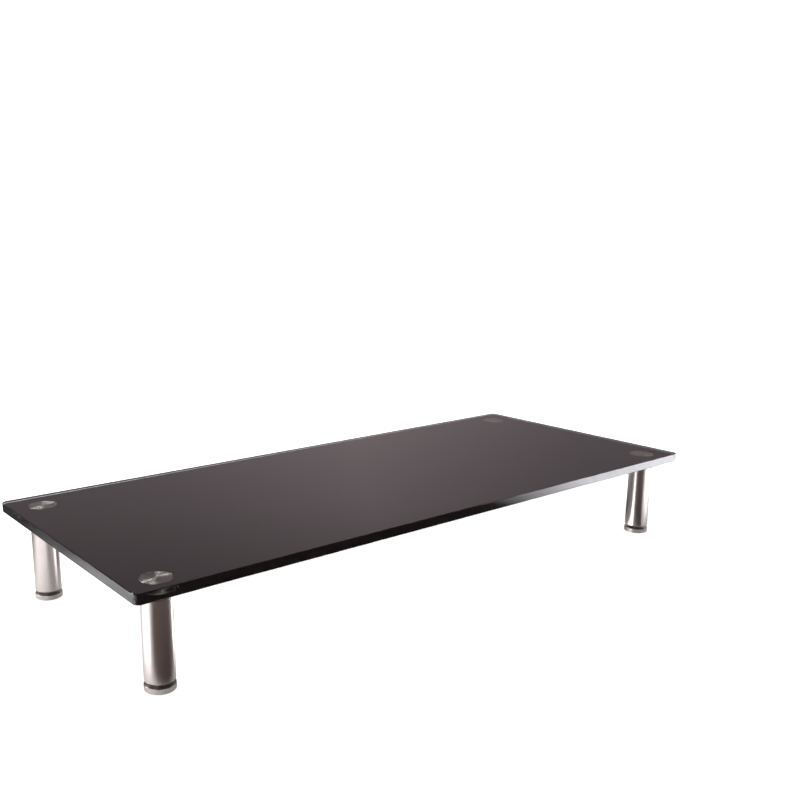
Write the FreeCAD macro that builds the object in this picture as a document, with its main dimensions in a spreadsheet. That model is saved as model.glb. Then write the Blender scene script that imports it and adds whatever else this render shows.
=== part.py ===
import FreeCAD, Part

import os

import Sketcher

# A glass monitor riser: a toughened glass shelf, painted black underneath, on four short
# tubular steel legs. Each leg hangs from a metal disc that is bonded to the glass, and ends
# in a levelling foot on an M8 screw.
#
# Frame: millimetres, +Z up, X along the long edge, Y towards the back.
# The origin is on the desk, under the middle of the glass.

DRIVING_SIZES = {
    # the glass shelf
    "glass_length": 600,
    "glass_depth": 250,
    "glass_thickness": 8,
    "glass_corner_radius": 5,
    "glass_arris": 0.5,
    "shelf_height": 83,
    # the black enamel on its underside, and the clear adhesive in the enamel's round windows
    "enamel_thickness": 0.15,
    "enamel_margin": 1.2,
    # where the legs stand, in from the edges of the glass
    "leg_inset_side": 27,
    "leg_inset_front": 24.5,
    # the bonded disc: a flange against the glass and a spigot that centres the tube
    "disc_diameter": 23,
    "disc_flange": 6.85,
    "spigot_clearance": 0.2,
    "spigot_length": 3,
    "disc_skin": 1,
    "edge_break": 0.3,
    # the tube and the plugs pressed into its two ends
    "tube_diameter": 22,
    "tube_wall": 1,
    "top_plug_length": 12,
    "bottom_plug_length": 14,
    "plug_recess": 0.2,
    "plug_lead_in": 0.5,
    # the M8 screws
    "thread_diameter": 8,
    "thread_clearance": 0.05,
    "stud_length": 22,
    "screw_length": 25,
    "screw_point": 0.8,
    # the levelling foot
    "foot_diameter": 22.6,
    "foot_thickness": 4.2,
    "foot_edge_break": 0.4,
    "foot_gap": 3,
    "screw_seat": 2.4,
    "pad_diameter": 19.6,
    "pad_thickness": 1.5,
    "pad_recess": 1,
}

LEGS = {
    "front_left": (-1, -1),
    "front_right": (1, -1),
    "back_left": (-1, 1),
    "back_right": (1, 1),
}

doc = FreeCAD.newDocument("glass_monitor_riser")
sheet = doc.addObject("Spreadsheet::Sheet", "Sizes")


class Size:
    """A length as a number, together with the sheet expression that gives it."""

    def __init__(self, text, value):
        self.text = text
        self.value = value

    def __add__(self, other):
        return Size(f"({self.text} + {other.text})", self.value + other.value)

    def __sub__(self, other):
        return Size(f"({self.text} - {other.text})", self.value - other.value)

    def __mul__(self, number):
        return Size(f"({self.text} * {number})", self.value * number)

    def __truediv__(self, number):
        return Size(f"({self.text} / {number})", self.value / number)


def fill_sheet():
    """Writes the driving sizes to the sheet, one aliased cell each, and returns them as Size."""
    for row, (name, value) in enumerate(DRIVING_SIZES.items(), start=1):
        sheet.set(f"A{row}", name)
        sheet.set(f"B{row}", str(value))
        sheet.setAlias(f"B{row}", name)
    doc.recompute()
    return {name: Size(f"Sizes.{name}", value) for name, value in DRIVING_SIZES.items()}


size = fill_sheet()
ZERO = Size("0", 0)

# heights above the desk, from the glass down
glass_top = size["shelf_height"]
glass_bottom = glass_top - size["glass_thickness"]
disc_top = glass_bottom - size["enamel_thickness"]
tube_top = disc_top - size["disc_flange"]
spigot_end = tube_top - size["spigot_length"]
stud_top = disc_top - size["disc_skin"]
stud_end = stud_top - size["stud_length"]
top_plug_end = spigot_end - size["top_plug_length"]

# heights above the desk, from the pad up
foot_bottom = size["pad_thickness"] - size["pad_recess"]
foot_top = foot_bottom + size["foot_thickness"]
screw_end = foot_top - size["screw_seat"]
screw_top = foot_top + size["screw_length"]
tube_bottom = foot_top + size["foot_gap"]
bottom_plug_start = tube_bottom + size["plug_recess"]
bottom_plug_end = bottom_plug_start + size["bottom_plug_length"]

# radii
disc_radius = size["disc_diameter"] / 2
tube_radius = size["tube_diameter"] / 2
bore_radius = tube_radius - size["tube_wall"]
spigot_radius = bore_radius - size["spigot_clearance"]
thread_radius = size["thread_diameter"] / 2
screw_radius = thread_radius - size["thread_clearance"]
foot_radius = size["foot_diameter"] / 2
pad_radius = size["pad_diameter"] / 2

# the legs' axes
leg_x = size["glass_length"] / 2 - size["leg_inset_side"]
leg_y = size["glass_depth"] / 2 - size["leg_inset_front"]


def origin_plane(body, role):
    """The body's own origin plane with that role."""
    return next(plane for plane in body.Origin.OriginFeatures if plane.Role == role)


def new_sketch(body, name, role):
    """A sketch on one of the body's origin planes."""
    sketch = body.newObject("Sketcher::SketchObject", name)
    sketch.AttachmentSupport = [(origin_plane(body, role), "")]
    sketch.MapMode = "FlatFace"
    return sketch


def bind(sketch, kind, arguments, length):
    """Adds a dimension to a sketch and ties it to the sheet."""
    index = sketch.addConstraint(Sketcher.Constraint(kind, *arguments, length.value))
    sketch.setExpression(f"Constraints[{index}]", length.text)


def draw_outline(sketch, points):
    """Draws a closed polygon whose every corner is dimensioned from the sketch's origin."""
    origin, across, up = (-1, 1), -2, -1
    corners = [FreeCAD.Vector(x.value, y.value, 0) for x, y in points]
    count = len(points)
    for i in range(count):
        sketch.addGeometry(Part.LineSegment(corners[i], corners[(i + 1) % count]), False)
    for i in range(count):
        following = (i + 1) % count
        sketch.addConstraint(Sketcher.Constraint("Coincident", i, 2, following, 1))
    for i, (x, y) in enumerate(points):
        if x is ZERO:
            sketch.addConstraint(Sketcher.Constraint("PointOnObject", i, 1, across))
        else:
            bind(sketch, "DistanceX", (*origin, i, 1), x)
        if y is ZERO:
            sketch.addConstraint(Sketcher.Constraint("PointOnObject", i, 1, up))
        else:
            bind(sketch, "DistanceY", (*origin, i, 1), y)


def turned(leg, piece, points):
    """A lathe-turned piece on a leg's axis. Each point of its half section is (radius, height)."""
    label = f"{leg}_{piece}"
    body = doc.addObject("PartDesign::Body", label)
    body.Label = label
    sketch = new_sketch(body, f"{label}_section", "XZ_Plane")
    draw_outline(sketch, points)
    turning = body.newObject("PartDesign::Revolution", f"{label}_turning")
    turning.Profile = sketch
    turning.ReferenceAxis = (sketch, ["V_Axis"])
    turning.Angle = 360
    sketch.Visibility = False
    side, front = LEGS[leg]
    body.setExpression("Placement.Base.x", (leg_x * side).text)
    body.setExpression("Placement.Base.y", (leg_y * front).text)
    return body


def plate(label, margin, bottom, thickness):
    """A flat plate with rounded corners, centred on the origin and margin inside the glass."""
    body = doc.addObject("PartDesign::Body", label)
    body.Label = label
    half_length = size["glass_length"] / 2 - margin
    half_depth = size["glass_depth"] / 2 - margin
    sketch = new_sketch(body, f"{label}_outline", "XY_Plane")
    sketch.setExpression("AttachmentOffset.Base.z", bottom.text)
    corners = [(-1, -1), (1, -1), (1, 1), (-1, 1)]
    draw_outline(sketch, [(half_length * i, half_depth * j) for i, j in corners])
    pad = body.newObject("PartDesign::Pad", f"{label}_pad")
    pad.Profile = sketch
    pad.setExpression("Length", thickness.text)
    sketch.Visibility = False
    doc.recompute()
    rounding = body.newObject("PartDesign::Fillet", f"{label}_corners")
    rounding.Base = (pad, upright_edges(pad.Shape))
    rounding.setExpression("Radius", (size["glass_corner_radius"] - margin).text)
    doc.recompute()
    return body


def upright_edges(shape):
    """The names of a shape's edges that run along Z."""
    names = []
    for number, edge in enumerate(shape.Edges, start=1):
        run = edge.Vertexes[-1].Point - edge.Vertexes[0].Point
        if abs(run.z) > 0.9 * edge.Length:
            names.append(f"Edge{number}")
    return names


def level_faces(shape):
    """The names of a shape's flat faces that look straight up or down."""
    names = []
    for number, face in enumerate(shape.Faces, start=1):
        if abs(face.normalAt(0, 0).z) > 0.999:
            names.append(f"Face{number}")
    return names


def make_glass_shelf():
    """The toughened glass plate, its sharp edges ground off to a narrow polished arris."""
    body = plate("glass_shelf", ZERO, glass_bottom, size["glass_thickness"])
    rounded = body.Tip
    arris = body.newObject("PartDesign::Chamfer", "glass_shelf_arris")
    arris.Base = (rounded, level_faces(rounded.Shape))
    arris.setExpression("Size", size["glass_arris"].text)
    return body


def make_black_enamel():
    """The fired black enamel under the glass, left open in a round window over each disc."""
    body = plate("black_enamel", size["enamel_margin"], disc_top, size["enamel_thickness"])
    whole = body.Tip.Shape.Volume
    sketch = new_sketch(body, "enamel_windows_outline", "XY_Plane")
    sketch.setExpression("AttachmentOffset.Base.z", disc_top.text)
    origin = (-1, 1)
    for side, front in LEGS.values():
        x, y = leg_x * side, leg_y * front
        ring = Part.Circle(FreeCAD.Vector(x.value, y.value, 0), FreeCAD.Vector(0, 0, 1), disc_radius.value)
        circle = sketch.addGeometry(ring, False)
        bind(sketch, "Radius", (circle,), disc_radius)
        bind(sketch, "DistanceX", (*origin, circle, 3), x)
        bind(sketch, "DistanceY", (*origin, circle, 3), y)
    windows = body.newObject("PartDesign::Pocket", "enamel_windows")
    windows.Profile = sketch
    windows.Type = 1  # through all
    windows.Midplane = True
    sketch.Visibility = False
    doc.recompute()
    if body.Shape.Volume >= whole:
        raise RuntimeError("the enamel's windows were not cut")
    return body


def make_bond_film(leg):
    """The clear UV-cured adhesive that fills the window between the glass and the disc."""
    outline = [(ZERO, disc_top), (disc_radius, disc_top), (disc_radius, glass_bottom), (ZERO, glass_bottom)]
    return turned(leg, "bond_film", outline)


def make_bonding_disc(leg):
    """The turned disc bonded to the glass: flange, spigot inside the tube, and a blind M8 hole."""
    bevel = size["edge_break"]
    outline = [
        (ZERO, disc_top),
        (disc_radius, disc_top),
        (disc_radius, tube_top + bevel),
        (disc_radius - bevel, tube_top),
        (spigot_radius, tube_top),
        (spigot_radius, spigot_end + bevel),
        (spigot_radius - bevel, spigot_end),
        (thread_radius, spigot_end),
        (thread_radius, stud_top),
        (ZERO, stud_top),
    ]
    return turned(leg, "bonding_disc", outline)


def make_leg_stud(leg):
    """The M8 stud that joins the disc to the plug in the top of the leg."""
    point = size["screw_point"]
    outline = [
        (ZERO, stud_top),
        (thread_radius, stud_top),
        (thread_radius, stud_end + point),
        (thread_radius - point, stud_end),
        (ZERO, stud_end),
    ]
    return turned(leg, "leg_stud", outline)


def make_leg_tube(leg):
    """The stainless tube, its two ends faced and lightly broken outside."""
    bevel = size["edge_break"]
    outline = [
        (bore_radius, tube_bottom),
        (tube_radius - bevel, tube_bottom),
        (tube_radius, tube_bottom + bevel),
        (tube_radius, tube_top - bevel),
        (tube_radius - bevel, tube_top),
        (bore_radius, tube_top),
    ]
    return turned(leg, "leg_tube", outline)


def make_plug(leg, piece, bottom, top):
    """A threaded plug that is pressed into the tube, with a lead-in at both ends."""
    lead = size["plug_lead_in"]
    outline = [
        (thread_radius, bottom),
        (bore_radius - lead, bottom),
        (bore_radius, bottom + lead),
        (bore_radius, top - lead),
        (bore_radius - lead, top),
        (thread_radius, top),
    ]
    return turned(leg, piece, outline)


def make_foot_disc(leg):
    """The levelling foot's turned disc: a blind seat for its screw and a shallow pad recess."""
    bevel = size["foot_edge_break"]
    outline = [
        (ZERO, size["pad_thickness"]),
        (pad_radius, size["pad_thickness"]),
        (pad_radius, foot_bottom),
        (foot_radius - bevel, foot_bottom),
        (foot_radius, foot_bottom + bevel),
        (foot_radius, foot_top - bevel),
        (foot_radius - bevel, foot_top),
        (screw_radius, foot_top),
        (screw_radius, screw_end),
        (ZERO, screw_end),
    ]
    return turned(leg, "foot_disc", outline)


def make_foot_screw(leg):
    """The levelling foot's M8 screw, pressed into the disc, with a running fit in the plug."""
    point = size["screw_point"]
    outline = [
        (ZERO, screw_end),
        (screw_radius, screw_end),
        (screw_radius, screw_top - point),
        (screw_radius - point, screw_top),
        (ZERO, screw_top),
    ]
    return turned(leg, "foot_screw", outline)


def make_foot_pad(leg):
    """The anti-slip pad in the foot's recess; it stands proud and touches the desk."""
    bevel = size["edge_break"]
    outline = [
        (ZERO, ZERO),
        (pad_radius - bevel, ZERO),
        (pad_radius, bevel),
        (pad_radius, size["pad_thickness"]),
        (ZERO, size["pad_thickness"]),
    ]
    return turned(leg, "foot_pad", outline)


def make_leg(leg):
    """All the pieces of one leg, from the glass down."""
    return [
        make_bond_film(leg),
        make_bonding_disc(leg),
        make_leg_stud(leg),
        make_leg_tube(leg),
        make_plug(leg, "top_plug", top_plug_end, spigot_end),
        make_plug(leg, "bottom_plug", bottom_plug_start, bottom_plug_end),
        make_foot_disc(leg),
        make_foot_screw(leg),
        make_foot_pad(leg),
    ]


def check_document(pieces):
    """Stops if any object failed to compute or any piece isn't one sound solid."""
    for thing in doc.Objects:
        if "Invalid" in thing.State or "Error" in thing.State:
            raise RuntimeError(f"{thing.Label} did not compute: {thing.State}")
    for piece in pieces:
        shape = piece.Shape
        if shape.isNull() or not shape.isValid() or len(shape.Solids) != 1:
            raise RuntimeError(f"{piece.Label} is not one valid solid")


def write_pieces(pieces):
    """Writes each piece to its own STEP file."""
    os.makedirs("parts", exist_ok=True)
    for piece in pieces:
        piece.Shape.exportStep(f"parts/{piece.Label}.step")
        box = piece.Shape.BoundBox
        print(
            f"{piece.Label:28s} {box.XLength:7.2f} x {box.YLength:7.2f} x {box.ZLength:6.2f} mm,"
            f" z {box.ZMin:6.2f} to {box.ZMax:6.2f}, {piece.Shape.Volume / 1000:8.3f} cm3"
        )


pieces = [make_glass_shelf(), make_black_enamel()]
for leg in LEGS:
    pieces += make_leg(leg)
doc.recompute()
check_document(pieces)
write_pieces(pieces)
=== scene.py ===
import math
import random

import bmesh
import bpy
from mathutils import Matrix, Vector


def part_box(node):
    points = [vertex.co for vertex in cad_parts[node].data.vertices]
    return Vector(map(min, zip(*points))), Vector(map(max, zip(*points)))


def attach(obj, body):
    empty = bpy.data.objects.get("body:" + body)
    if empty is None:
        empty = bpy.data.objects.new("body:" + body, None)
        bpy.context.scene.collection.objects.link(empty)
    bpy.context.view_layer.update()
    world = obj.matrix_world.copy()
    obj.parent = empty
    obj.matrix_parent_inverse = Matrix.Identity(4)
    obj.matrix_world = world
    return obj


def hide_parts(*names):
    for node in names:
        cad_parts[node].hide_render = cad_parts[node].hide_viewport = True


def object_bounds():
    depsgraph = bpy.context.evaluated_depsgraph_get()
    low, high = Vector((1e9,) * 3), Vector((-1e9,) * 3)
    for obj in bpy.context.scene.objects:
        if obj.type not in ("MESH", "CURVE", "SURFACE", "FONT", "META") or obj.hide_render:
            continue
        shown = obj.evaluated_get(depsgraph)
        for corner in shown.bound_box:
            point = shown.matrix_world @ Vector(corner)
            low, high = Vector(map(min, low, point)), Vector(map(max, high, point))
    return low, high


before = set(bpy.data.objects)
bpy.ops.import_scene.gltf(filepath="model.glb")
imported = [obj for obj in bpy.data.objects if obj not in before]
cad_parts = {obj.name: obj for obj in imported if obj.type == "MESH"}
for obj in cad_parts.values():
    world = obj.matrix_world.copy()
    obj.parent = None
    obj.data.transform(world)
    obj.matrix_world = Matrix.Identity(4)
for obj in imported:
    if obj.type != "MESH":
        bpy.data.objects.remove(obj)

# %% [markdown]
# ## The object and its frame
# The piece is a glass shelf that lifts a screen above a desk. A sheet of toughened glass, black
# underneath, stands on four short steel tubes. Every tube hangs from a metal disc that is glued
# to the glass, and ends in a foot that screws in and out to take up an uneven desk.
#
# The working drawing is already loaded: each of its parts is one node, in metres, with +Z up.
# All the finer shapes below are fitted to those nodes, so their boxes are read first and no
# place is typed in twice.

# %% Read the drawing
cad_low, cad_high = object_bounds()
MM = 0.001
LEGS = ("front_left", "front_right", "back_left", "back_right")


def heights(node):
    """Lowest and highest point of a drawn part."""
    low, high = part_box(node)
    return low.z, high.z


def radius_of(node):
    """Half the width of a drawn round part."""
    low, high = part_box(node)
    return (high.x - low.x) / 2


def axis_of(leg):
    """Where a leg's axis meets the desk."""
    low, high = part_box(f"{leg}_leg_tube")
    return Vector(((low.x + high.x) / 2, (low.y + high.y) / 2, 0))


PATTERN = LEGS[0]
print("shelf", [round(side / MM, 2) for side in cad_high - cad_low], "mm")
print("legs at", [tuple(round(v / MM, 1) for v in axis_of(leg).xy) for leg in LEGS], "mm")

# %% [markdown]
# ## Tools for the shapes
# Nearly every piece of a leg is lathe work: a tool follows an outline while the bar turns. In
# Blender that could be a Screw modifier, but building the rings in code lets each corner get
# its own small radius. A real lathe tool never leaves a corner perfectly sharp, and it is that
# tiny rounding that catches the light.
#
# `soften` rounds the corners of an outline, and puts a support point just before and after
# each round, so that the flats beside it stay flat when the surface is shaded smooth.

# %% Soften the corners of an outline
SUPPORT = 0.06 * MM


def soften(points, radius, steps=4, closed=True):
    """Rounds the corners of an outline of (radius, height) points.

    A point may carry its own rounding as a third value; 0 keeps it sharp.
    """
    count = len(points)
    made = []
    for i, point in enumerate(points):
        here = Vector(point[:2])
        own = point[2] if len(point) > 2 else radius
        at_end = not closed and i in (0, count - 1)
        if own == 0 or at_end:
            made.append(here)
            continue
        back = Vector(points[i - 1][:2]) - here
        ahead = Vector(points[(i + 1) % count][:2]) - here
        half_angle = back.angle(ahead) / 2
        reach = own / math.tan(half_angle)
        reach = min(reach, 0.45 * back.length, 0.45 * ahead.length)
        start = here + back.normalized() * reach
        end = here + ahead.normalized() * reach
        if back.length > reach + 3 * SUPPORT:
            made.append(start + back.normalized() * SUPPORT)
        for step in range(steps + 1):
            t = step / steps
            made.append(start * (1 - t) ** 2 + here * 2 * t * (1 - t) + end * t**2)
        if ahead.length > reach + 3 * SUPPORT:
            made.append(end + ahead.normalized() * SUPPORT)
    return made


# %% Turn an outline into a solid
SHARP_ABOVE = math.radians(40)


def finish_mesh(mesh, sharp_above=SHARP_ABOVE):
    """Shades a mesh smooth, except across real corners."""
    mesh.polygons.foreach_set("use_smooth", [True] * len(mesh.polygons))
    mesh.set_sharp_from_angle(angle=sharp_above)
    mesh.update()
    return mesh


def turn(name, outline, segments=96, closed=False):
    """Spins (radius, height) points round the Z axis.

    An open outline starts and ends on the axis. A closed one is the section of a ring.
    """
    verts, rings = [], []
    for x, z in outline:
        if x < 1e-9:
            rings.append([len(verts)] * segments)
            verts.append((0, 0, z))
            continue
        rings.append(list(range(len(verts), len(verts) + segments)))
        for k in range(segments):
            angle = 2 * math.pi * k / segments
            verts.append((x * math.cos(angle), x * math.sin(angle), z))
    faces = []
    pairs = list(zip(rings, rings[1:]))
    if closed:
        pairs.append((rings[-1], rings[0]))
    for lower, upper in pairs:
        for k in range(segments):
            nxt = (k + 1) % segments
            corners = [lower[k], lower[nxt], upper[nxt], upper[k]]
            face = list(dict.fromkeys(corners))
            if len(face) > 2:
                faces.append(face)
    mesh = bpy.data.meshes.new(name)
    mesh.from_pydata(verts, [], faces)
    level = bmesh.new()
    level.from_mesh(mesh)
    bmesh.ops.recalc_face_normals(level, faces=level.faces)
    level.to_mesh(mesh)
    level.free()
    return finish_mesh(mesh)


# %% Put a piece on each leg
chance = random.Random(7)


def on_every_leg(piece, mesh, material, body, replaced):
    """Places a mesh on all four legs, each turned by its own angle, and hides the drawn part it stands
    for.
    """
    if not mesh.materials:
        mesh.materials.append(material)
    for leg in LEGS:
        thing = bpy.data.objects.new(f"{leg}_{piece}_detail", mesh)
        bpy.context.scene.collection.objects.link(thing)
        thing.location = axis_of(leg)
        thing.rotation_euler.z = chance.uniform(0, 2 * math.pi)
        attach(thing, body.format(leg=leg))
        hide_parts(f"{leg}_{replaced}")
    low = min(v.co.z for v in mesh.vertices) / MM
    high = max(v.co.z for v in mesh.vertices) / MM
    print(f"{piece}: {len(mesh.polygons)} faces, z {low:.2f} to {high:.2f} mm")


# %% [markdown]
# ## Tools for the finishes
# A finish is a small recipe of nodes. These helpers only save typing: one adds a node, one does
# a sum with sockets or plain numbers, and one starts a node group with named inputs and outputs.

# %% Node helpers
def add(tree, kind, **settings):
    """A node of that kind, with its settings."""
    made = tree.nodes.new(kind)
    for name, value in settings.items():
        setattr(made, name, value)
    return made


def feed(tree, socket, value):
    """Links a socket to a socket, or sets its number."""
    if isinstance(value, bpy.types.NodeSocket):
        tree.links.new(value, socket)
    else:
        socket.default_value = value


def maths(tree, operation, *values):
    """A sum on sockets or numbers."""
    made = add(tree, "ShaderNodeMath", operation=operation)
    for socket, value in zip(made.inputs, values):
        feed(tree, socket, value)
    return made.outputs[0]


def remap(tree, value, low, high, to_low, to_high):
    """Moves a value from one range to another, and holds it there."""
    made = add(tree, "ShaderNodeMapRange")
    for socket, number in zip(made.inputs, (value, low, high, to_low, to_high)):
        feed(tree, socket, number)
    return made.outputs[0]


def blend_colours(tree, factor, first, second):
    """A mix of two colours."""
    made = add(tree, "ShaderNodeMix", data_type="RGBA")
    feed(tree, made.inputs["Factor"], factor)
    feed(tree, made.inputs["A"], first)
    feed(tree, made.inputs["B"], second)
    return made.outputs["Result"]


def blend_numbers(tree, factor, first, second):
    """A mix of two numbers."""
    made = add(tree, "ShaderNodeMix", data_type="FLOAT")
    feed(tree, made.inputs["Factor"], factor)
    feed(tree, made.inputs["A"], first)
    feed(tree, made.inputs["B"], second)
    return made.outputs["Result"]


def cloud(tree, vector, scale, detail=2.0, roughness=0.5):
    """A noise value from 0 to 1."""
    made = add(tree, "ShaderNodeTexNoise")
    feed(tree, made.inputs["Vector"], vector)
    made.inputs["Scale"].default_value = scale
    made.inputs["Detail"].default_value = detail
    made.inputs["Roughness"].default_value = roughness
    return made.outputs["Fac"]


def new_group(name, inputs, outputs):
    """A shader node group. Inputs are {name: starting value}, outputs are {name: kind}."""
    tree = bpy.data.node_groups.new(name, "ShaderNodeTree")
    for label, value in inputs.items():
        socket = tree.interface.new_socket(label, in_out="INPUT", socket_type="NodeSocketFloat")
        socket.default_value = value
    for label, kind in outputs.items():
        tree.interface.new_socket(label, in_out="OUTPUT", socket_type=kind)
    return tree, add(tree, "NodeGroupInput"), add(tree, "NodeGroupOutput")


def place_group(tree, group, **values):
    """A group placed in a material with its own values; underscores stand for spaces."""
    made = add(tree, "ShaderNodeGroup", node_tree=group)
    for name, value in values.items():
        feed(tree, made.inputs[name.replace("_", " ")], value)
    return made


def new_material(name, base, roughness, metallic=0.0, **plain):
    """A material with one Principled BSDF, whose plain sockets are set at once."""
    material = bpy.data.materials.new(name)
    material.use_nodes = True
    tree = material.node_tree
    shader = tree.nodes["Principled BSDF"]
    shader.inputs["Base Color"].default_value = (*base, 1)
    shader.inputs["Roughness"].default_value = roughness
    shader.inputs["Metallic"].default_value = metallic
    for name, value in plain.items():
        shader.inputs[name.replace("_", " ")].default_value = value
    return material, tree, shader


def bump(tree, shader, height, distance):
    """Feeds a height to the shader's normal."""
    made = add(tree, "ShaderNodeBump")
    made.inputs["Distance"].default_value = distance
    made.inputs["Strength"].default_value = 1.0
    feed(tree, made.inputs["Height"], height)
    feed(tree, shader.inputs["Normal"], made.outputs["Normal"])


# %% [markdown]
# ## Marks that run round an axis
# A tube is satin finished by a belt while it spins, and a disc is faced by a tool that moves in
# towards the middle. Both leave marks that run round the axis: on a tube they differ with the
# height, on a disc with the distance from the middle. One group makes both. It reads the piece's
# own coordinates, whose Z axis is the lathe's, and stretches noise a long way round and very
# little across. `Facing` moves the change from height to distance.

# %% Group: marks round the axis
def make_round_marks():
    """Noise drawn out round the Z axis."""
    inputs = {"Marks Per Metre": 4000.0, "Breaks Per Turn": 3.0, "Facing": 0.0, "Seed": 0.0}
    outputs = {"Height": "NodeSocketFloat", "Broad Shade": "NodeSocketFloat"}
    tree, taken, given = new_group("marks_round_the_axis", inputs, outputs)
    place = add(tree, "ShaderNodeTexCoord").outputs["Object"]
    split = add(tree, "ShaderNodeSeparateXYZ")
    feed(tree, split.inputs[0], place)
    x, y, z = split.outputs
    flat = add(tree, "ShaderNodeCombineXYZ")
    feed(tree, flat.inputs[0], x)
    feed(tree, flat.inputs[1], y)
    away = add(tree, "ShaderNodeVectorMath", operation="LENGTH")
    feed(tree, away.inputs[0], flat.outputs[0])
    distance = away.outputs["Value"]
    across = blend_numbers(tree, taken.outputs["Facing"], z, distance)
    safe = maths(tree, "MAXIMUM", distance, 1e-6)
    around = maths(tree, "DIVIDE", taken.outputs["Breaks Per Turn"], safe)
    for name, reach in (("Height", 1.0), ("Broad Shade", 0.12)):
        drawn = add(tree, "ShaderNodeCombineXYZ")
        feed(tree, drawn.inputs[0], maths(tree, "MULTIPLY", x, around))
        feed(tree, drawn.inputs[1], maths(tree, "MULTIPLY", y, around))
        pace = maths(tree, "MULTIPLY", taken.outputs["Marks Per Metre"], reach)
        line = maths(tree, "MULTIPLY_ADD", across, pace, taken.outputs["Seed"])
        feed(tree, drawn.inputs[2], line)
        feed(tree, given.inputs[name], cloud(tree, drawn.outputs[0], 1.0, 3.0, 0.6))
    return tree


round_marks = make_round_marks()
print("group", round_marks.name, "with", len(round_marks.nodes), "nodes")

# %% [markdown]
# ## Marks of handling
# Nothing that is used stays evenly clean. Where fingers have been, metal and glass are a little
# duller, in soft patches with finer streaks in them. The group gives one mask of that, which
# each material adds to its roughness by its own amount.

# %% Group: handling
def make_handling():
    """A mask of smears, from 0 for clean to 1 for handled."""
    inputs = {"Patches Per Metre": 12.0, "Streaks Per Metre": 150.0, "Seed": 0.0}
    tree, taken, given = new_group("handling", inputs, {"Smear": "NodeSocketFloat"})
    place = add(tree, "ShaderNodeTexCoord").outputs["Object"]
    moved = add(tree, "ShaderNodeVectorMath", operation="ADD")
    feed(tree, moved.inputs[0], place)
    feed(tree, moved.inputs[1], taken.outputs["Seed"])
    patches = add(tree, "ShaderNodeTexNoise")
    feed(tree, patches.inputs["Vector"], moved.outputs[0])
    feed(tree, patches.inputs["Scale"], taken.outputs["Patches Per Metre"])
    streaks = add(tree, "ShaderNodeTexNoise")
    feed(tree, streaks.inputs["Vector"], moved.outputs[0])
    feed(tree, streaks.inputs["Scale"], taken.outputs["Streaks Per Metre"])
    streaks.inputs["Distortion"].default_value = 1.5
    broad = remap(tree, patches.outputs["Fac"], 0.45, 0.7, 0.0, 1.0)
    fine = remap(tree, streaks.outputs["Fac"], 0.4, 0.75, 0.2, 1.0)
    feed(tree, given.inputs["Smear"], maths(tree, "MULTIPLY", broad, fine))
    return tree


handling = make_handling()

# %% [markdown]
# ## Dust
# A few specks settle on any level face. They are cells of a Voronoi pattern, kept only close to
# their points and only where a slower noise allows, so that they gather rather than form a grid.

# %% Group: dust
def make_dust():
    """A mask of specks."""
    inputs = {"Specks Per Metre": 260.0, "Amount": 0.5}
    tree, taken, given = new_group("dust", inputs, {"Specks": "NodeSocketFloat"})
    place = add(tree, "ShaderNodeTexCoord").outputs["Object"]
    cells = add(tree, "ShaderNodeTexVoronoi")
    feed(tree, cells.inputs["Vector"], place)
    feed(tree, cells.inputs["Scale"], taken.outputs["Specks Per Metre"])
    near = remap(tree, cells.outputs["Distance"], 0.02, 0.07, 1.0, 0.0)
    where = cloud(tree, place, 30.0)
    least = maths(tree, "SUBTRACT", 1.0, taken.outputs["Amount"])
    kept = remap(tree, where, least, maths(tree, "ADD", least, 0.1), 0.0, 1.0)
    feed(tree, given.inputs["Specks"], maths(tree, "MULTIPLY", near, kept))
    return tree


dust = make_dust()

# %% [markdown]
# ## Metals
# The tubes and the feet are satin stainless steel. Its fine marks run round the tube and throw
# the light up and down, which is why a tube shows tall, sharp-sided stripes of whatever is
# beside it. Anisotropy gives that stretch, with a tangent that runs round the axis, and the
# marks themselves only vary the roughness and the height a little. On the bonded disc the same
# marks are circles, and they fan a light out into a bright wedge that points at the middle.

# %% Metals with marks round the axis
def make_round_metal(
    name, base, roughness, spread, marks,
    facing=0.0, anisotropic=0.0, depth=0.0, smear=0.1, shade=0.12, seed=0.0,
):
    """A metal whose marks run round its axis.

    `spread` is how far the marks vary the roughness, `depth` how deep they are, `shade` how much
    darker the broad bands are, and `smear` how much handling dulls it.
    """
    across_the_marks = 0.25
    material, tree, shader = new_material(
        name, base, roughness, 1.0, Anisotropic=anisotropic, Anisotropic_Rotation=across_the_marks,
    )
    tangent = add(tree, "ShaderNodeTangent", direction_type="RADIAL", axis="Z")
    feed(tree, shader.inputs["Tangent"], tangent.outputs[0])
    lines = place_group(tree, round_marks, Marks_Per_Metre=marks, Facing=facing, Seed=seed)
    touched = place_group(tree, handling, Patches_Per_Metre=70.0, Streaks_Per_Metre=600.0, Seed=seed)
    dulled = maths(tree, "MULTIPLY", touched.outputs["Smear"], smear)
    varied = remap(tree, lines.outputs["Height"], 0.3, 0.7, roughness - spread, roughness + spread)
    feed(tree, shader.inputs["Roughness"], maths(tree, "ADD", varied, dulled))
    darker = [channel * (1 - shade) for channel in base]
    tone = remap(tree, lines.outputs["Broad Shade"], 0.3, 0.7, 0.0, 1.0)
    feed(tree, shader.inputs["Base Color"], blend_colours(tree, tone, (*darker, 1), (*base, 1)))
    bump(tree, shader, lines.outputs["Height"], depth)
    return material


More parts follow.
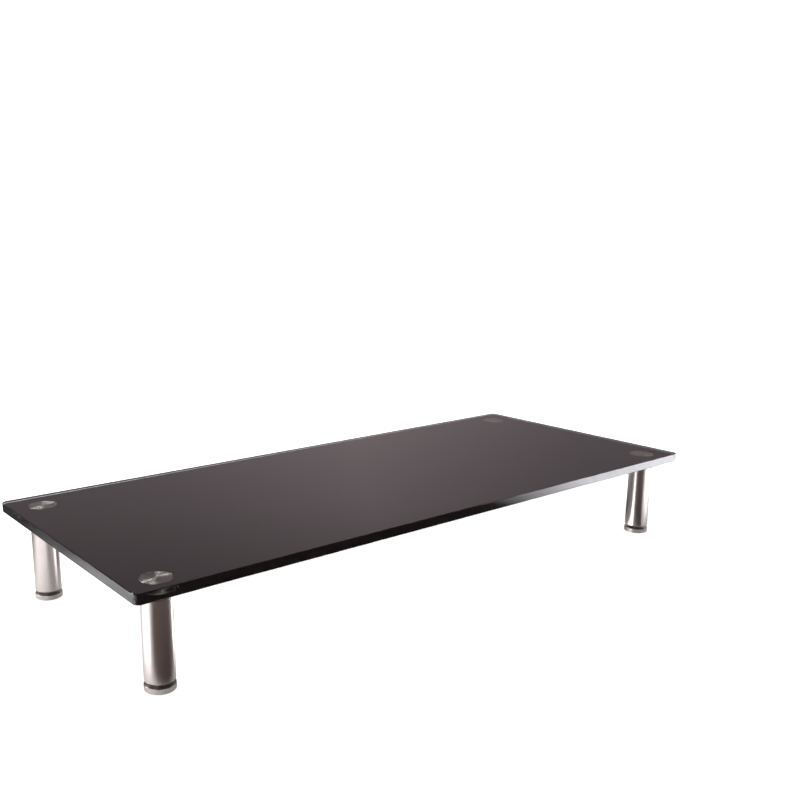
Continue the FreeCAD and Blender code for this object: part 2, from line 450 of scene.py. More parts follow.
satin_steel = make_round_metal(
    "satin_stainless", (0.66, 0.605, 0.58), 0.31, 0.03, 5200.0, anisotropic=0.9, depth=0.0015 * MM,
    smear=0.05, shade=0.05,
)
turned_steel = make_round_metal(
    "turned_steel", (0.49, 0.471, 0.425), 0.26, 0.02, 5600.0, facing=1.0, anisotropic=1.0,
    depth=0.0012 * MM, smear=0.0, shade=0.35, seed=3.0,
)
turned_foot = make_round_metal(
    "turned_foot", (0.66, 0.61, 0.585), 0.31, 0.03, 4200.0, facing=0.5, anisotropic=0.95,
    depth=0.002 * MM, smear=0.05, seed=5.0,
)
bright_chrome = make_round_metal(
    "bright_chrome", (0.86, 0.86, 0.85), 0.24, 0.02, 2500.0, anisotropic=0.95, depth=0.001 * MM,
    smear=0.02, shade=0.08, seed=8.0,
)
zinc_plate = make_round_metal(
    "zinc_plate", (0.62, 0.64, 0.64), 0.30, 0.08, 2500.0, depth=0.003 * MM, shade=0.2, seed=11.0,
)
for metal in (satin_steel, turned_steel, turned_foot, bright_chrome, zinc_plate):
    print("metal", metal.name, "with", len(metal.node_tree.nodes), "nodes")

# %% [markdown]
# The plug in the top of the leg is die-cast zinc: a dull grey skin with a faint mottle where the
# metal chilled, and no marks at all from a tool.

# %% Die-cast zinc
def make_cast_zinc():
    """Dull die-cast metal."""
    material, tree, shader = new_material("cast_zinc", (0.42, 0.42, 0.43), 0.55, 1.0)
    place = add(tree, "ShaderNodeTexCoord").outputs["Object"]
    mottle = cloud(tree, place, 500.0, 4.0)
    grain = cloud(tree, place, 4000.0, 2.0)
    feed(tree, shader.inputs["Roughness"], remap(tree, mottle, 0.3, 0.7, 0.45, 0.7))
    tone = blend_colours(tree, mottle, (0.34, 0.34, 0.35, 1), (0.48, 0.48, 0.49, 1))
    feed(tree, shader.inputs["Base Color"], tone)
    bump(tree, shader, grain, 0.02 * MM)
    return material


cast_zinc = make_cast_zinc()


# %% [markdown]
# ## Plastic and rubber
# The plug in the bottom of the leg is black nylon, moulded with a fine spark texture. The pad
# under the foot is rubber. Both are nearly black, so what tells them apart is their sheen: the
# rubber has hardly any, and picks up pale dust in its pores.

# %% Moulded black parts
def make_moulded(name, base, roughness, grain_per_metre, depth, dusty):
    """A black moulding with a fine texture and a little dust."""
    material, tree, shader = new_material(name, base, roughness, 0.0)
    place = add(tree, "ShaderNodeTexCoord").outputs["Object"]
    grain = cloud(tree, place, grain_per_metre, 3.0, 0.6)
    patches = cloud(tree, place, 180.0, 3.0)
    spread = 0.08
    varied = remap(tree, grain, 0.3, 0.7, roughness - spread, roughness + spread)
    feed(tree, shader.inputs["Roughness"], varied)
    pale = [channel * 3 + dusty for channel in base]
    settled = remap(tree, patches, 0.5, 0.85, 0.0, 0.6)
    feed(tree, shader.inputs["Base Color"], blend_colours(tree, settled, (*base, 1), (*pale, 1)))
    bump(tree, shader, grain, depth)
    return material


black_nylon = make_moulded("black_nylon", (0.018, 0.018, 0.019), 0.48, 5000.0, 0.02 * MM, 0.01)
pad_rubber = make_moulded("pad_rubber", (0.022, 0.021, 0.021), 0.82, 7000.0, 0.04 * MM, 0.03)

# %% [markdown]
# ## Glass and enamel
# The shelf is clear glass with black enamel fired onto its underside, and that is what gives it
# its depth: the gloss is on the top face and the black is 8 mm below. The sheet itself carries
# three finishes: clear glass on top, polished glass round the edge, and on the underside the
# enamel as it is seen from inside the glass. The enamel is open in a round window over each disc,
# so that no face of the glass lies in front of the disc there and doubles the reflection.

# %% Clear glass
GLASS_INDEX = 1.52


def make_clear_glass():
    """Polished float glass, a little smeared by hands."""
    material, tree, shader = new_material(
        "clear_glass", (0.965, 0.985, 0.98), 0.0, IOR=GLASS_INDEX, Transmission_Weight=1.0,
    )
    touched = place_group(tree, handling, Patches_Per_Metre=9.0, Streaks_Per_Metre=90.0, Seed=2.0)
    specks = place_group(tree, dust, Specks_Per_Metre=240.0, Amount=0.42)
    dulled = maths(tree, "MULTIPLY", touched.outputs["Smear"], 0.05)
    dusty = maths(tree, "MULTIPLY", specks.outputs["Specks"], 0.25)
    feed(tree, shader.inputs["Roughness"], maths(tree, "ADD", dulled, dusty))
    return material


clear_glass = make_clear_glass()


# %% [markdown]
# The edges were ground along their length and then polished. The wheel leaves very fine lines
# along the edge, so a reflection there is drawn out up and down and the edge looks softer than
# the face.

# %% Polished edge
def make_polished_edge():
    """The ground and polished edge of the sheet."""
    material, tree, shader = new_material(
        "polished_edge", (0.93, 0.96, 0.955), 0.1, IOR=GLASS_INDEX, Transmission_Weight=1.0,
    )
    place = add(tree, "ShaderNodeTexCoord").outputs["Object"]
    stretched = add(tree, "ShaderNodeMapping")
    feed(tree, stretched.inputs["Vector"], place)
    stretched.inputs["Scale"].default_value = (25, 25, 9000)
    lines = cloud(tree, stretched.outputs[0], 1.0, 3.0)
    feed(tree, shader.inputs["Roughness"], remap(tree, lines, 0.3, 0.7, 0.05, 0.12))
    bump(tree, shader, lines, 0.0015 * MM)
    return material


polished_edge = make_polished_edge()

# %% [markdown]
# The windows are found from the drawing: a leg's distance from the middle is the same on every
# side, so folding the sheet twice, by taking the size of X and Y without their sign, lets one
# circle stand for all four. The print's edge wavers by a few hundredths of a millimetre.

# %% Enamel seen through the glass
window_radius = radius_of(f"{PATTERN}_bond_film")
enamel_top = heights("black_enamel")[1]
leg_offset = axis_of("back_right")


def make_enamel_seen_through():
    """Black enamel from inside the glass, with its four windows."""
    material, tree, shader = new_material(
        "enamel_through_glass", (0.006, 0.0053, 0.0052), 1.0, Specular_IOR_Level=0.0,
    )
    place = add(tree, "ShaderNodeTexCoord").outputs["Object"]
    folded = add(tree, "ShaderNodeVectorMath", operation="ABSOLUTE")
    feed(tree, folded.inputs[0], place)
    offset = add(tree, "ShaderNodeVectorMath", operation="SUBTRACT")
    feed(tree, offset.inputs[0], folded.outputs[0])
    offset.inputs[1].default_value = (leg_offset.x, leg_offset.y, enamel_top)
    away = add(tree, "ShaderNodeVectorMath", operation="LENGTH")
    feed(tree, away.inputs[0], offset.outputs[0])
    reach = 0.05 * MM
    waver = remap(tree, cloud(tree, place, 900.0), 0.0, 1.0, -reach, reach)
    edge = maths(tree, "ADD", away.outputs["Value"], waver)
    feed(tree, shader.inputs["Alpha"], maths(tree, "GREATER_THAN", edge, window_radius))
    thin = remap(tree, cloud(tree, place, 25.0, 4.0), 0.35, 0.75, 0.0, 1.0)
    shades = blend_colours(tree, thin, (0.0062, 0.0055, 0.0054, 1), (0.0085, 0.0073, 0.0072, 1))
    feed(tree, shader.inputs["Base Color"], shades)
    return material


enamel_through_glass = make_enamel_seen_through()


# %% [markdown]
# From below the enamel is an ordinary coat: black, dull beside the glass, with the slight
# orange-peel of a sprayed film.

# %% Enamel from below
def make_enamel_back():
    """The enamel's outer face."""
    material, tree, shader = new_material("enamel_back", (0.012, 0.0115, 0.0115), 0.38)
    place = add(tree, "ShaderNodeTexCoord").outputs["Object"]
    peel = cloud(tree, place, 380.0, 2.0)
    flow = cloud(tree, place, 14.0, 4.0)
    touched = place_group(tree, handling, Patches_Per_Metre=10.0, Streaks_Per_Metre=120.0, Seed=6.0)
    base = remap(tree, flow, 0.3, 0.7, 0.32, 0.46)
    dulled = maths(tree, "MULTIPLY", touched.outputs["Smear"], 0.15)
    feed(tree, shader.inputs["Roughness"], maths(tree, "ADD", base, dulled))
    tones = blend_colours(tree, flow, (0.010, 0.0095, 0.0095, 1), (0.016, 0.0153, 0.0153, 1))
    feed(tree, shader.inputs["Base Color"], tones)
    bump(tree, shader, peel, 0.03 * MM)
    return material


enamel_back = make_enamel_back()


# %% [markdown]
# The adhesive wets both the glass and the disc, so light crosses it with almost no step. Its
# index is therefore set close to 1 against the glass around it, and a few tiny bubbles are all
# that shows.

# %% Adhesive
def make_clear_adhesive():
    """The UV-cured film in a window."""
    material, tree, shader = new_material(
        "clear_adhesive", (0.985, 0.985, 0.98), 0.02, IOR=1.01, Transmission_Weight=1.0,
    )
    place = add(tree, "ShaderNodeTexCoord").outputs["Object"]
    cells = add(tree, "ShaderNodeTexVoronoi")
    feed(tree, cells.inputs["Vector"], place)
    cells.inputs["Scale"].default_value = 700.0
    bubble = remap(tree, cells.outputs["Distance"], 0.03, 0.08, 1.0, 0.0)
    feed(tree, shader.inputs["Roughness"], remap(tree, bubble, 0.0, 1.0, 0.02, 0.4))
    return material


clear_adhesive = make_clear_adhesive()

# %% [markdown]
# ## The glass shelf
# The sheet is one outline, a rectangle with rounded corners, repeated at a few heights. Between
# the flat faces and the edge runs the arris, the narrow bevel that is ground on so that nobody is
# cut. Where the arris meets the edge the corner is eased, because it is polished after it is
# ground. The sheet starts a hair above the enamel: two faces in exactly the same place would
# flicker against each other, and the same small gap is kept wherever clear pieces touch.

# %% Build the glass
shelf_low, shelf_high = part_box("glass_shelf")
AIR = 0.01 * MM
CORNER_RADIUS = 5 * MM
ARRIS = 0.5 * MM
CORNER_STEPS = 14


def rounded_rectangle(inset):
    """The sheet's outline, moved inwards, anticlockwise from the front right corner."""
    half_x = shelf_high.x - inset
    half_y = shelf_high.y - inset
    bend = CORNER_RADIUS - inset
    points = []
    for quarter, (side, front) in enumerate(((1, -1), (1, 1), (-1, 1), (-1, -1))):
        centre = Vector((side * (half_x - bend), front * (half_y - bend)))
        for step in range(CORNER_STEPS + 1):
            angle = math.pi / 2 * (quarter - 1 + step / CORNER_STEPS)
            points.append(centre + bend * Vector((math.cos(angle), math.sin(angle))))
    return points


def make_glass():
    """The sheet, with clear faces, polished edges and enamel under it."""
    bottom = shelf_low.z + AIR
    top = shelf_high.z
    edge = soften(
        [(ARRIS, bottom, 0), (0, bottom + ARRIS), (0, top - ARRIS), (ARRIS, top, 0)],
        0.2 * MM, closed=False,
    )
    made = bmesh.new()
    rings = []
    for inset, height in edge:
        rings.append([made.verts.new((*point, height)) for point in rounded_rectangle(inset)])
    count = len(rings[0])
    for lower, upper in zip(rings, rings[1:]):
        for k in range(count):
            nxt = (k + 1) % count
            face = made.faces.new((lower[k], lower[nxt], upper[nxt], upper[k]))
            face.material_index = 1
    made.faces.new(rings[-1]).material_index = 0
    made.faces.new(list(reversed(rings[0]))).material_index = 2
    bmesh.ops.recalc_face_normals(made, faces=made.faces)
    mesh = bpy.data.meshes.new("glass_sheet")
    made.to_mesh(mesh)
    made.free()
    for material in (clear_glass, polished_edge, enamel_through_glass):
        mesh.materials.append(material)
    return finish_mesh(mesh, math.radians(25))


glass = bpy.data.objects.new("glass_sheet", make_glass())
bpy.context.scene.collection.objects.link(glass)
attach(glass, "riser")
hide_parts("glass_shelf")
print("glass", len(glass.data.polygons), "faces")

# %% [markdown]
# The enamel is thin and flat, so the drawn part is already the right shape. It keeps its mesh and
# only gets its finish.

# %% Finish the drawn enamel
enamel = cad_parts["black_enamel"]
enamel.data.materials.clear()
enamel.data.materials.append(enamel_back)

# %% [markdown]
# ## The bonded disc
# This is the piece that holds the glass. A flange is glued to it, and a spigot under the flange
# centres the tube. The flange's face is what shows through the window.

# %% Film and disc
film_low, film_high = heights(f"{PATTERN}_bond_film")
disc_low, disc_high = heights(f"{PATTERN}_bonding_disc")
tube_low, tube_high = heights(f"{PATTERN}_leg_tube")
stud_low, stud_high = heights(f"{PATTERN}_leg_stud")
disc_radius = radius_of(f"{PATTERN}_bonding_disc")
tube_radius = radius_of(f"{PATTERN}_leg_tube")
bore_radius = radius_of(f"{PATTERN}_top_plug")
thread_radius = radius_of(f"{PATTERN}_leg_stud")
SPIGOT_CLEARANCE = 0.2 * MM


def film_outline():
    """The adhesive, a hair clear of both faces and drawn in at its rim."""
    low = film_low + AIR
    high = film_high - AIR
    return soften(
        [(0, low), (disc_radius - 0.1 * MM, low), (disc_radius, high), (0, high)],
        0.02 * MM, closed=False,
    )


def disc_outline():
    """Flange, spigot and the blind hole for the stud."""
    spigot = bore_radius - SPIGOT_CLEARANCE
    return soften(
        [
            (0, disc_high), (disc_radius, disc_high, 0.12 * MM), (disc_radius, tube_high, 0.3 * MM),
            (spigot, tube_high, 0), (spigot, disc_low, 0.3 * MM), (thread_radius, disc_low, 0.3 * MM),
            (thread_radius, stud_high, 0), (0, stud_high),
        ],
        0.2 * MM, closed=False,
    )


film = turn("bond_film", film_outline())
disc = turn("bonding_disc", disc_outline(), 128)
on_every_leg("bond_film", film, clear_adhesive, "riser", "bond_film")
on_every_leg("bonding_disc", disc, turned_steel, "riser", "bonding_disc")

# %% [markdown]
# ## Tube and plugs
# The tube is cut from 22 mm stock and faced at both ends, with the edge just broken. Its plugs
# are pressed in. The lower one is set back a little, which leaves a thin shadow inside the rim.

# %% Tube
def tube_outline():
    """The section of the tube wall."""
    return soften(
        [
            (bore_radius, tube_low, 0.12 * MM), (tube_radius, tube_low, 0.3 * MM),
            (tube_radius, tube_high, 0.3 * MM), (bore_radius, tube_high, 0.12 * MM),
        ],
        0.2 * MM,
    )


tube = turn("leg_tube", tube_outline(), 128, closed=True)
on_every_leg("leg_tube", tube, satin_steel, "riser", "leg_tube")


# %% Plugs
def plug_outline(low, high, groove):
    """A plug with a lead-in at both ends, and a shallow ring moulded in its lower face."""
    lead = 0.5 * MM
    middle = (thread_radius + bore_radius) / 2
    points = [
        (thread_radius + 0.4 * MM, low), (thread_radius, low + 0.4 * MM),
        (thread_radius, high), (bore_radius - lead, high), (bore_radius, high - lead),
        (bore_radius, low + lead), (bore_radius - lead, low),
    ]
    if groove:
        points += [
            (middle + 1.2 * MM, low), (middle + 1.0 * MM, low + groove),
            (middle - 1.0 * MM, low + groove), (middle - 1.2 * MM, low),
        ]
    return soften(points, 0.12 * MM, 3)


top_low, top_high = heights(f"{PATTERN}_top_plug")
bottom_low, bottom_high = heights(f"{PATTERN}_bottom_plug")
top_plug = turn("top_plug", plug_outline(top_low, top_high, 0), 64, closed=True)
bottom_plug = turn("bottom_plug", plug_outline(bottom_low, bottom_high, 0.6 * MM), 96, closed=True)
on_every_leg("top_plug", top_plug, cast_zinc, "riser", "top_plug")
on_every_leg("bottom_plug", bottom_plug, black_nylon, "riser", "bottom_plug")

# %% [markdown]
# ## Threads
# A thread could be faked with bump, but the foot's screw is seen from the side, where only a real
# outline looks right. The ridge is one long strip: a section of crest, flank and root, carried
# round and up by one pitch each turn, so that the end of one turn is the start of the next. The
# strip is closed into a solid that is too long, and then cut to length by a turned blank whose
# bevelled end gives the thread its lead-in, as a die would.
#
# A die can't cut right up to the foot, so the last stretch of the foot's screw is a plain
# polished neck, with one shallow groove where the thread runs out. It shows in the gap.

# %% Thread
PITCH = 1.25 * MM
THREAD_DEPTH = 0.6134 * PITCH


def helix_solid(radius, low, high, steps=40):
    """A threaded bar of full section, a pitch too long at both ends."""
    root = radius - THREAD_DEPTH
    section = [(radius, 0), (radius, PITCH / 8), (root, 7 * PITCH / 16), (root, 11 * PITCH / 16)]
    turns = math.ceil((high - low) / PITCH) + 2
    made = bmesh.new()
    rows = []
    for k in range(turns * steps + 1):
        angle = 2 * math.pi * k / steps
        base = low - PITCH + PITCH * k / steps
        row = [(r * math.cos(angle), r * math.sin(angle), base + rise) for r, rise in section]
        rows.append([made.verts.new(place) for place in row])
    last = len(rows) - 1
    for k in range(last):
        here, ahead = rows[k], rows[k + 1]
        for j in range(len(section) - 1):
            made.faces.new((here[j], ahead[j], ahead[j + 1], here[j + 1]))
        if k + 1 + steps <= last:
            made.faces.new((here[-1], ahead[-1], rows[k + 1 + steps][0], rows[k + steps][0]))
    foot_centre = made.verts.new((0, 0, low - 2 * PITCH))
    head_centre = made.verts.new((0, 0, low - PITCH + PITCH * (turns + 1)))
    start = [row[0] for row in rows[: steps + 1]]
    for a, b in zip(start, start[1:]):
        made.faces.new((b, a, foot_centre))
    end = [row[-1] for row in rows[last - steps:]]
    for a, b in zip(end, end[1:]):
        made.faces.new((a, b, head_centre))
    made.faces.new((start[0], *rows[0][1:], rows[steps][0], foot_centre))
    made.faces.new((head_centre, rows[last - steps][-1], rows[last][0], *rows[last][1:]))
    bmesh.ops.recalc_face_normals(made, faces=made.faces)
    mesh = bpy.data.meshes.new("helix")
    made.to_mesh(mesh)
    made.free()
    return mesh


def cut_to(name, mesh, blank):
    """What a helix and a turned blank share."""
    whole = bpy.data.objects.new(name, mesh)
    tool = bpy.data.objects.new(name + "_blank", blank)
    for thing in (whole, tool):
        bpy.context.scene.collection.objects.link(thing)
    cut = whole.modifiers.new("cut", "BOOLEAN")
    cut.operation = "INTERSECT"
    cut.solver = "EXACT"
    cut.object = tool
    worked_out = whole.evaluated_get(bpy.context.evaluated_depsgraph_get())
    done = bpy.data.meshes.new_from_object(worked_out)
    for thing in (whole, tool):
        bpy.data.objects.remove(thing)
    done.name = name
    return finish_mesh(done, math.radians(35))


def threaded(name, radius, low, high, thread_from):
    """A screw with a bevelled tip. Below `thread_from` it is cut down to the root."""
    bevel = 0.8 * MM
    root = radius - THREAD_DEPTH
    outline = [(0, low), (root, low), (root, thread_from), (radius, thread_from + bevel)]
    outline += [(radius, high - bevel), (root, high), (0, high)]
    return cut_to(name, helix_solid(radius, low, high), turn(name + "_blank", outline, 40))


def neck_outline(low, high):
    """The plain polished neck between the foot and the first turn of the thread."""
    inner = screw_radius - THREAD_DEPTH - 0.2 * MM
    groove = (low + high) / 2 + 0.5 * MM
    cut = 0.35 * MM
    bevel = 0.25 * MM
    return soften(
        [
            (inner, low, 0), (screw_radius, low), (screw_radius, groove - cut),
            (screw_radius - cut, groove), (screw_radius, groove + cut),
            (screw_radius, high - bevel), (screw_radius - bevel, high), (inner, high, 0),
        ],
        0.1 * MM, 3,
    )


screw_low, screw_high = heights(f"{PATTERN}_foot_screw")
screw_radius = radius_of(f"{PATTERN}_foot_screw")
foot_low, foot_high = heights(f"{PATTERN}_foot_disc")
SEAT_DEPTH = 0.35 * MM
NECK_LENGTH = 2.9 * MM
neck_low = foot_high - SEAT_DEPTH
neck_high = neck_low + NECK_LENGTH
stud_thread = threaded("leg_stud", thread_radius - 0.02 * MM, stud_low, stud_high, stud_low)
screw_thread = threaded("foot_screw", screw_radius, screw_low, screw_high, neck_high)
neck = turn("foot_neck", neck_outline(neck_low, neck_high), 96, closed=True)
on_every_leg("leg_stud", stud_thread, zinc_plate, "riser", "leg_stud")
on_every_leg("foot_screw", screw_thread, bright_chrome, "{leg}_foot", "foot_screw")
on_every_leg("foot_neck", neck, bright_chrome, "{leg}_foot", "foot_screw")

# %% [markdown]
# ## The foot
# The foot is a disc, faced on a lathe, with the screw pressed into it. Turned by hand it goes up
# or down by one pitch a turn. A rubber pad sits in a recess underneath.

# %% Foot disc and pad
pad_low, pad_high = heights(f"{PATTERN}_foot_pad")
foot_radius = radius_of(f"{PATTERN}_foot_disc")
pad_radius = radius_of(f"{PATTERN}_foot_pad")


def foot_outline():
    """The disc, from the roof of its recess round to the screw's seat."""
    return soften(
        [
            (0, pad_high, 0), (pad_radius, pad_high, 0), (pad_radius, foot_low, 0.15 * MM),
            (foot_radius, foot_low, 0.35 * MM), (foot_radius, foot_high, 0.4 * MM),
            (screw_radius + 0.9 * MM, foot_high, 0.2 * MM),
            (screw_radius + 0.3 * MM, foot_high - SEAT_DEPTH, 0.1 * MM),
            (screw_radius, foot_high - SEAT_DEPTH, 0), (screw_radius, screw_low, 0),
            (0, screw_low, 0),
        ],
        0.2 * MM, closed=False,
    )


def pad_outline():
    """The pad, with shallow rings moulded into the face that grips."""
    points = [(0, pad_low)]
    rings = 4
    depth = 0.35 * MM
    half_gap = 0.35 * MM
    for ring in range(1, rings + 1):
        middle = pad_radius * ring / (rings + 1)
        points += [(middle - half_gap, pad_low), (middle - half_gap * 0.6, pad_low + depth)]
        points += [(middle + half_gap * 0.6, pad_low + depth), (middle + half_gap, pad_low)]
    rim = pad_radius - 0.05 * MM
    points += [(rim, pad_low, 0.3 * MM), (rim, pad_high - AIR), (0, pad_high - AIR)]
    return soften(points, 0.08 * MM, 2, closed=False)


foot = turn("foot_disc", foot_outline(), 128)
pad = turn("foot_pad", pad_outline(), 96)
on_every_leg("foot_disc", foot, turned_foot, "{leg}_foot", "foot_disc")
on_every_leg("foot_pad", pad, pad_rubber, "{leg}_pad", "foot_pad")

# %% [markdown]
# ## The studio
# Steel and glass have little colour of their own: they show the room. So the room is set up
# first of all for what it looks like in them. The floor comes first, plain and pale. A lit sweep
# looks white from the camera, and a little greyer close to the shelf, so the floor glows by that
# much where it is looked at, and much less where it is only mirrored in metal.

# %% Floor
GLOW_NEAR = 0.95
GLOW_FAR = 1.0
GLOW_IN_METAL = 0.3


def flat_sheet(name, corners, height, material):
    """A level sheet with those corners."""
    mesh = bpy.data.meshes.new(name)
    mesh.from_pydata([(x, y, 0) for x, y in corners], [], [range(len(corners))])
    mesh.materials.append(material)
    sheet = bpy.data.objects.new(name, mesh)
    bpy.context.scene.collection.objects.link(sheet)
    sheet.location.z = height
    return sheet


def make_floor():
    """A plain pale floor, as white as a lit sweep."""
    material, tree, shader = new_material("pale_floor", (0.86, 0.86, 0.86), 0.9)
    place = add(tree, "ShaderNodeTexCoord").outputs["Object"]
    tone = blend_colours(tree, cloud(tree, place, 3.0), (0.85, 0.85, 0.85, 1), (0.88, 0.88, 0.88, 1))
    feed(tree, shader.inputs["Base Color"], tone)
    shader.inputs["Emission Color"].default_value = (1, 1, 1, 1)
    path = add(tree, "ShaderNodeLightPath")
    away = add(tree, "ShaderNodeVectorMath", operation="LENGTH")
    feed(tree, away.inputs[0], place)
    near = 0.4
    far = 1.6
    glow = remap(tree, away.outputs["Value"], near, far, GLOW_NEAR, GLOW_FAR)
    direct = maths(tree, "MULTIPLY", path.outputs["Is Camera Ray"], glow)
    mirrored = maths(tree, "MULTIPLY", path.outputs["Is Glossy Ray"], GLOW_IN_METAL)
    feed(tree, shader.inputs["Emission Strength"], maths(tree, "ADD", direct, mirrored))
    reach = 40.0
    corners = [(-reach, -reach), (reach, -reach), (reach, reach), (-reach, reach)]
    flat_sheet("floor", corners, cad_low.z - 0.05 * MM, material)


make_floor()

# %% [markdown]
# An upright tube that is looked at from a little above mirrors the desk around it. So a studio
# that shows polished tubes lays cards on the desk, a black one for a dark stripe and a white one
# for a bright stripe. Here black cards lie in front of the shelf and under it; the one under it is
# painted shade, standing in for the shelf's shadow on the desk. One to the left of it glows pale in
# front and fades to black at the back, a painted falloff of the desk's light. White cards that glow
# lie to the left and to the right, and two narrow ones lie under the shelf between the legs. Only
# reflections show them.

# %% Tools for cards
def make_card(name, base):
    """A dull card."""
    material, tree, shader = new_material(name, base, 0.7)
    place = add(tree, "ShaderNodeTexCoord").outputs["Object"]
    grain = cloud(tree, place, 60.0)
    feed(tree, shader.inputs["Roughness"], remap(tree, grain, 0.0, 1.0, 0.6, 0.8))
    return material, tree, shader


def make_fading_light_card():
    """A card that glows pale in front and fades to black at the back, a painted falloff of the desk's
    light.
    """
    material, tree, shader = make_card("card_fading_light", (0.2, 0.2, 0.2))
    place = add(tree, "ShaderNodeTexCoord").outputs["Object"]
    split = add(tree, "ShaderNodeSeparateXYZ")
    feed(tree, split.inputs[0], place)
    # Painted light: pale and glowing in front, black at the back, as the desk's light falls off.
    fade = remap(tree, split.outputs["Y"], 0.12, 0.30, 0.0, 1.0)
    tone = blend_colours(tree, fade, (0.80, 0.78, 0.80, 1), (0.05, 0.045, 0.045, 1))
    feed(tree, shader.inputs["Base Color"], tone)
    glow = remap(tree, split.outputs["Y"], 0.10, 0.19, 0.9, 0.0)
    shader.inputs["Emission Color"].default_value = (1, 0.99, 1, 1)
    feed(tree, shader.inputs["Emission Strength"], glow)
    return material


def make_glowing_card(name, strength, start=-3.0, full=-2.0):
    """A white card that glows, from nothing at X = start to its full strength at X = full.

    Without these two the rise is far off to the left, and the whole card glows evenly.
    """
    material, tree, shader = make_card(name, (0.8, 0.8, 0.8))
    place = add(tree, "ShaderNodeTexCoord").outputs["Object"]
    split = add(tree, "ShaderNodeSeparateXYZ")
    feed(tree, split.inputs[0], place)
    rise = remap(tree, split.outputs["X"], start, full, 0.0, strength)
    shader.inputs["Emission Color"].default_value = (0.96, 0.95, 1.0, 1)
    feed(tree, shader.inputs["Emission Strength"], rise)
    return material


def lay_card(name, corners, material, height):
    """A card just above the floor, seen only in reflections."""
    card = flat_sheet(name, corners, height, material)
    card.visible_camera = False
    card.visible_diffuse = False
    card.visible_shadow = False


# %% Lay the cards
card_black = make_card("card_black", (0.13, 0.086, 0.076))[0]
fading_light = make_fading_light_card()
bright_glow = make_glowing_card("card_bright", 8.0, 0.22, 0.38)
pale_glow = make_glowing_card("card_pale", 2.1)
faint_glow = make_glowing_card("card_faint", 0.45)
lane_glow = make_glowing_card("card_lane", 3.8)
ON_FLOOR = 4 * MM
ON_CARD = 5 * MM
ON_LANE = 6 * MM
CARDS = (
    ("front_card", card_black, ON_FLOOR, [
        (-0.36, -0.122), (-0.62, -0.33), (-0.85, -0.75), (-0.02, -0.75), (0.24, -0.30),
        (0.27, -0.115), (-0.2, -0.112),
    ]),
    # Painted shade: this black card under the shelf stands in for the shelf's shadow on the desk.
    ("under_shelf_shade_card", card_black, ON_FLOOR, [
        (-0.20, 0.06), (-0.05, 0.02), (0.16, -0.03), (0.31, -0.06), (0.33, 0.12), (-0.20, 0.13),
    ]),
    # Painted falloff of the desk's light, seen only in reflections.
    ("back_card", fading_light, ON_FLOOR, [(-0.6, 0.0), (-0.315, 0.0), (-0.315, 0.8), (-0.6, 0.8)]),
    ("right_card", bright_glow, ON_CARD, [
        (0.20, -0.45), (0.75, -0.50), (0.75, -0.14), (0.33, -0.20), (0.22, -0.28),
    ]),
    ("left_near_card", pale_glow, ON_CARD, [
        (-1.2, -0.17), (-0.315, -0.11), (-0.315, 0.0), (-1.2, 0.0),
    ]),
    ("left_far_card", pale_glow, ON_CARD, [(-1.2, 0.0), (-0.6, 0.0), (-0.6, 0.6), (-1.2, 0.6)]),
    ("right_far_card", faint_glow, ON_CARD, [
        (0.34, -0.14), (1.2, -0.14), (1.2, 0.5), (0.34, 0.3),
    ]),
    ("lane_card", lane_glow, ON_CARD, [
        (-0.22, -0.104), (0.26, -0.104), (0.26, -0.09), (0.10, -0.062), (-0.05, -0.05),
        (-0.205, -0.065),
    ]),
    ("cross_card", lane_glow, ON_LANE, [
        (-0.225, 0.045), (-0.11, -0.055), (-0.045, -0.001), (-0.21, 0.070),
    ]),
)
for card_name, card_material, card_height, card_corners in CARDS:
    lay_card(card_name, card_corners, card_material, card_height)
print(len(CARDS), "cards")

# %% [markdown]
# Two large dim lights stand far off at the left and the right and fill the room evenly. Two long
# ones are much brighter, one behind the shelf and one over its left end: they are what the turned
# discs fan out into wedges. A light's power is worked out from how bright its face should look,
# so that its size can change and its reflection keep its tone.

# %% Lights
def soft_light(name, place, width, height, brightness, facing, along=(0, 1, 0)):
    """A rectangular light; brightness is what its face looks like.

    `facing` points from what it lights back to it, and `along` says which way its width runs.
    """
    data = bpy.data.lights.new(name, "AREA")
    data.shape = "RECTANGLE"
    data.size = width
    data.size_y = height
    data.energy = brightness * width * height * math.pi
    light = bpy.data.objects.new(name, data)
    bpy.context.scene.collection.objects.link(light)
    out = Vector(facing).normalized()
    side = Vector(along)
    side = (side - out * side.dot(out)).normalized()
    light.rotation_euler = Matrix((side, out.cross(side), out)).transposed().to_euler()
    light.location = place
    light.visible_camera = False


soft_light("left_light", (-1.5, 0.1, 0.75), 1.6, 1.1, 0.8, facing=(-1, 0, 0.4))
soft_light("right_light", (1.5, -0.3, 0.75), 1.6, 1.1, 0.8, facing=(1, 0, 0.4))
soft_light(
    "back_light", (-0.62, 1.01, 1.0), 1.1, 0.5, 6.5,
    facing=(-0.62, 1.0, 0.9), along=(1, 0.14, 0),
)
soft_light(
    "overhead_light", (-0.50, 0.20, 1.53), 1.1, 0.5, 6.5,
    facing=(-0.3, 0.1, 1.4), along=(0.67, 0.74, 0),
)

# %% [markdown]
# The room is a quiet warm grey, lightest towards the back right, darker in front and overhead.
# That is what the glass and the satin metal mirror. The camera itself sees plain white.

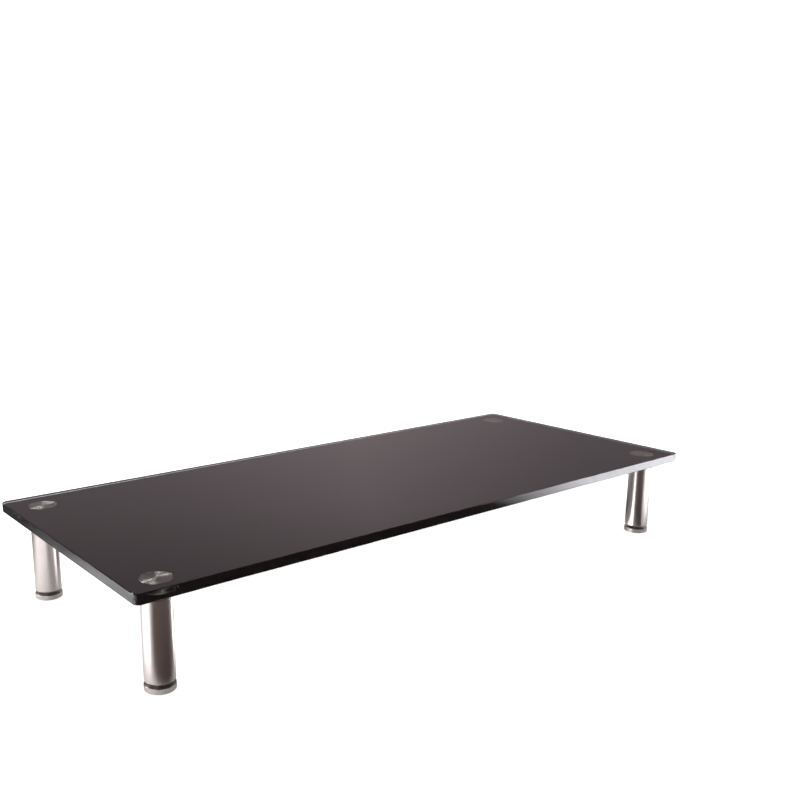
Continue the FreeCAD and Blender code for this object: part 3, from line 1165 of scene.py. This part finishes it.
# %% Room
def make_room():
    """A quiet grey room, darker in front, that the camera itself sees as white."""
    world = bpy.data.worlds.new("studio")
    bpy.context.scene.world = world
    world.use_nodes = True
    tree = world.node_tree
    room = tree.nodes["Background"]
    place = add(tree, "ShaderNodeTexCoord").outputs["Generated"]
    split = add(tree, "ShaderNodeSeparateXYZ")
    feed(tree, split.inputs[0], place)
    wall = add(tree, "ShaderNodeValToRGB")
    feed(tree, wall.inputs["Fac"], split.outputs["X"])
    ramp = wall.color_ramp
    left, right = ramp.elements
    left.position = 0.2
    left.color = (0.26, 0.216, 0.227, 1)
    right.position = 0.95
    right.color = (0.185, 0.154, 0.161, 1)
    between = {0.45: (0.36, 0.30, 0.315, 1), 0.62: (0.49, 0.408, 0.427, 1), 0.78: (0.28, 0.233, 0.244, 1)}
    for position, tone in between.items():
        ramp.elements.new(position).color = tone
    back = remap(tree, split.outputs["Y"], -0.5, 0.5, 0.0, 1.0)
    high = remap(tree, split.outputs["Z"], 0.3, 0.7, 0.0, 1.0)
    walls = blend_colours(tree, back, (0.13, 0.12, 0.12, 1), wall.outputs["Color"])
    feed(tree, room.inputs["Color"], blend_colours(tree, high, walls, (0.11, 0.103, 0.103, 1)))
    white = add(tree, "ShaderNodeBackground")
    white.inputs["Color"].default_value = (1, 1, 1, 1)
    white.inputs["Strength"].default_value = 1.1
    seen = add(tree, "ShaderNodeLightPath").outputs["Is Camera Ray"]
    either = add(tree, "ShaderNodeMixShader")
    feed(tree, either.inputs[0], seen)
    tree.links.new(room.outputs[0], either.inputs[1])
    tree.links.new(white.outputs[0], either.inputs[2])
    tree.links.new(either.outputs[0], tree.nodes["World Output"].inputs["Surface"])


make_room()

# %% [markdown]
# ## The camera
# The camera stands low in front of the left end and looks along the shelf, which is how it
# would be looked at across a desk.

# %% Camera
length = cad_high.x - cad_low.x
TARGET = Vector((-0.0906, 0, 0.2173)) * length
DISTANCE = 1.3598 * length
AZIMUTH = -37.435
ELEVATION = 12.958


def towards(azimuth, elevation, distance):
    """A way out from the shelf: azimuth 0 is in front and 90 to the right, in degrees."""
    a, e = math.radians(azimuth), math.radians(elevation)
    return distance * Vector((math.sin(a) * math.cos(e), -math.cos(a) * math.cos(e), math.sin(e)))


def make_camera():
    """A slightly long lens, in proportion to the shelf's length."""
    data = bpy.data.cameras.new("camera")
    data.sensor_width = 36
    data.lens = 42.4
    data.shift_x = 0.0892
    data.shift_y = 0.0482
    camera = bpy.data.objects.new("camera", data)
    bpy.context.scene.collection.objects.link(camera)
    camera.location = TARGET + towards(AZIMUTH, ELEVATION, DISTANCE)
    camera.rotation_euler = (camera.location - TARGET).to_track_quat("Z", "Y").to_euler()
    bpy.context.scene.camera = camera


make_camera()
bpy.context.scene.view_settings.view_transform = "Standard"

# %% [markdown]
# ## Size
# The last line prints the size of the drawing's box.

# %% Drawing size
print("drawing", [round(v / MM, 2) for v in cad_high - cad_low])
